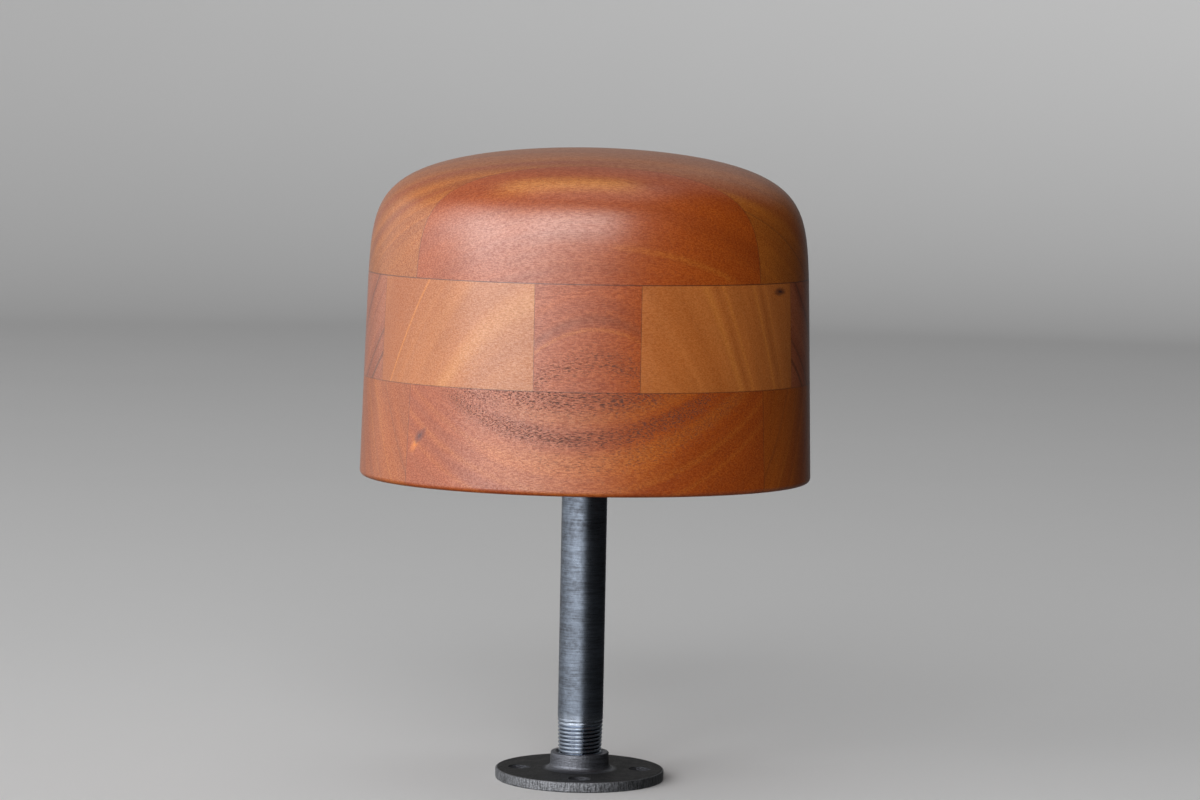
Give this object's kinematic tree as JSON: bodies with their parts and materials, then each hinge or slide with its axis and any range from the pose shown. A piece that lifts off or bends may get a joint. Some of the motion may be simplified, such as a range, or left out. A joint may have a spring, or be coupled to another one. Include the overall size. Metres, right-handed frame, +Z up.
{
  "type": "hat block",
  "caption": "Oval hat-shaping block of glued boards with a rounded crown, standing on a pipe with a round floor flange; it turns and lifts off.",
  "frame": {"origin": "centre of the floor flange's underside, on the surface that it stands on", "axes": "+Z up along the pipe, +X along the block's length (to the right in the picture), -Y the block's front"},
  "size_m": [0.211, 0.171, 0.2969],
  "materials": {
    "wood_red_brown": "oiled satin, red-brown, fine dark pores",
    "wood_orange_brown": "oiled satin, orange-brown",
    "wood_pale_tan": "oiled satin, golden tan",
    "wood_deep_brown": "oiled satin, dark purple-brown streaks",
    "disc_steel": "plain turned steel",
    "pipe_steel": "turned bare steel, dark, fine lines round it",
    "flange_iron": "dark oiled casting, brighter on its edge and hub"
  },
  "bodies": {
    "stand": {"floor_flange": "flange_iron", "pipe_nipple": "pipe_steel"},
    "disc": {"thrust_disc": "disc_steel"},
    "block": {"crown_front": "wood_red_brown", "crown_core": "wood_orange_brown", "crown_back": "wood_red_brown", "band_core": "wood_deep_brown", "band_front_left": "wood_pale_tan", "band_front_middle": "wood_red_brown", "band_front_right": "wood_pale_tan", "band_back_left": "wood_pale_tan", "band_back_middle": "wood_red_brown", "band_back_right": "wood_pale_tan", "base_front": "wood_red_brown", "base_core": "wood_orange_brown", "base_back": "wood_red_brown"}
  },
  "joints": [
    {"name": "block_turn", "type": "hinge", "parent": "stand", "child": "disc", "pos_m": [0, 0, 0.207], "axis": [0, 0, 1], "continuous": true},
    {"name": "block_lift", "type": "slide", "parent": "disc", "child": "block", "axis": [0, 0, 1], "range_m": [0, 0.08]}
  ]
}
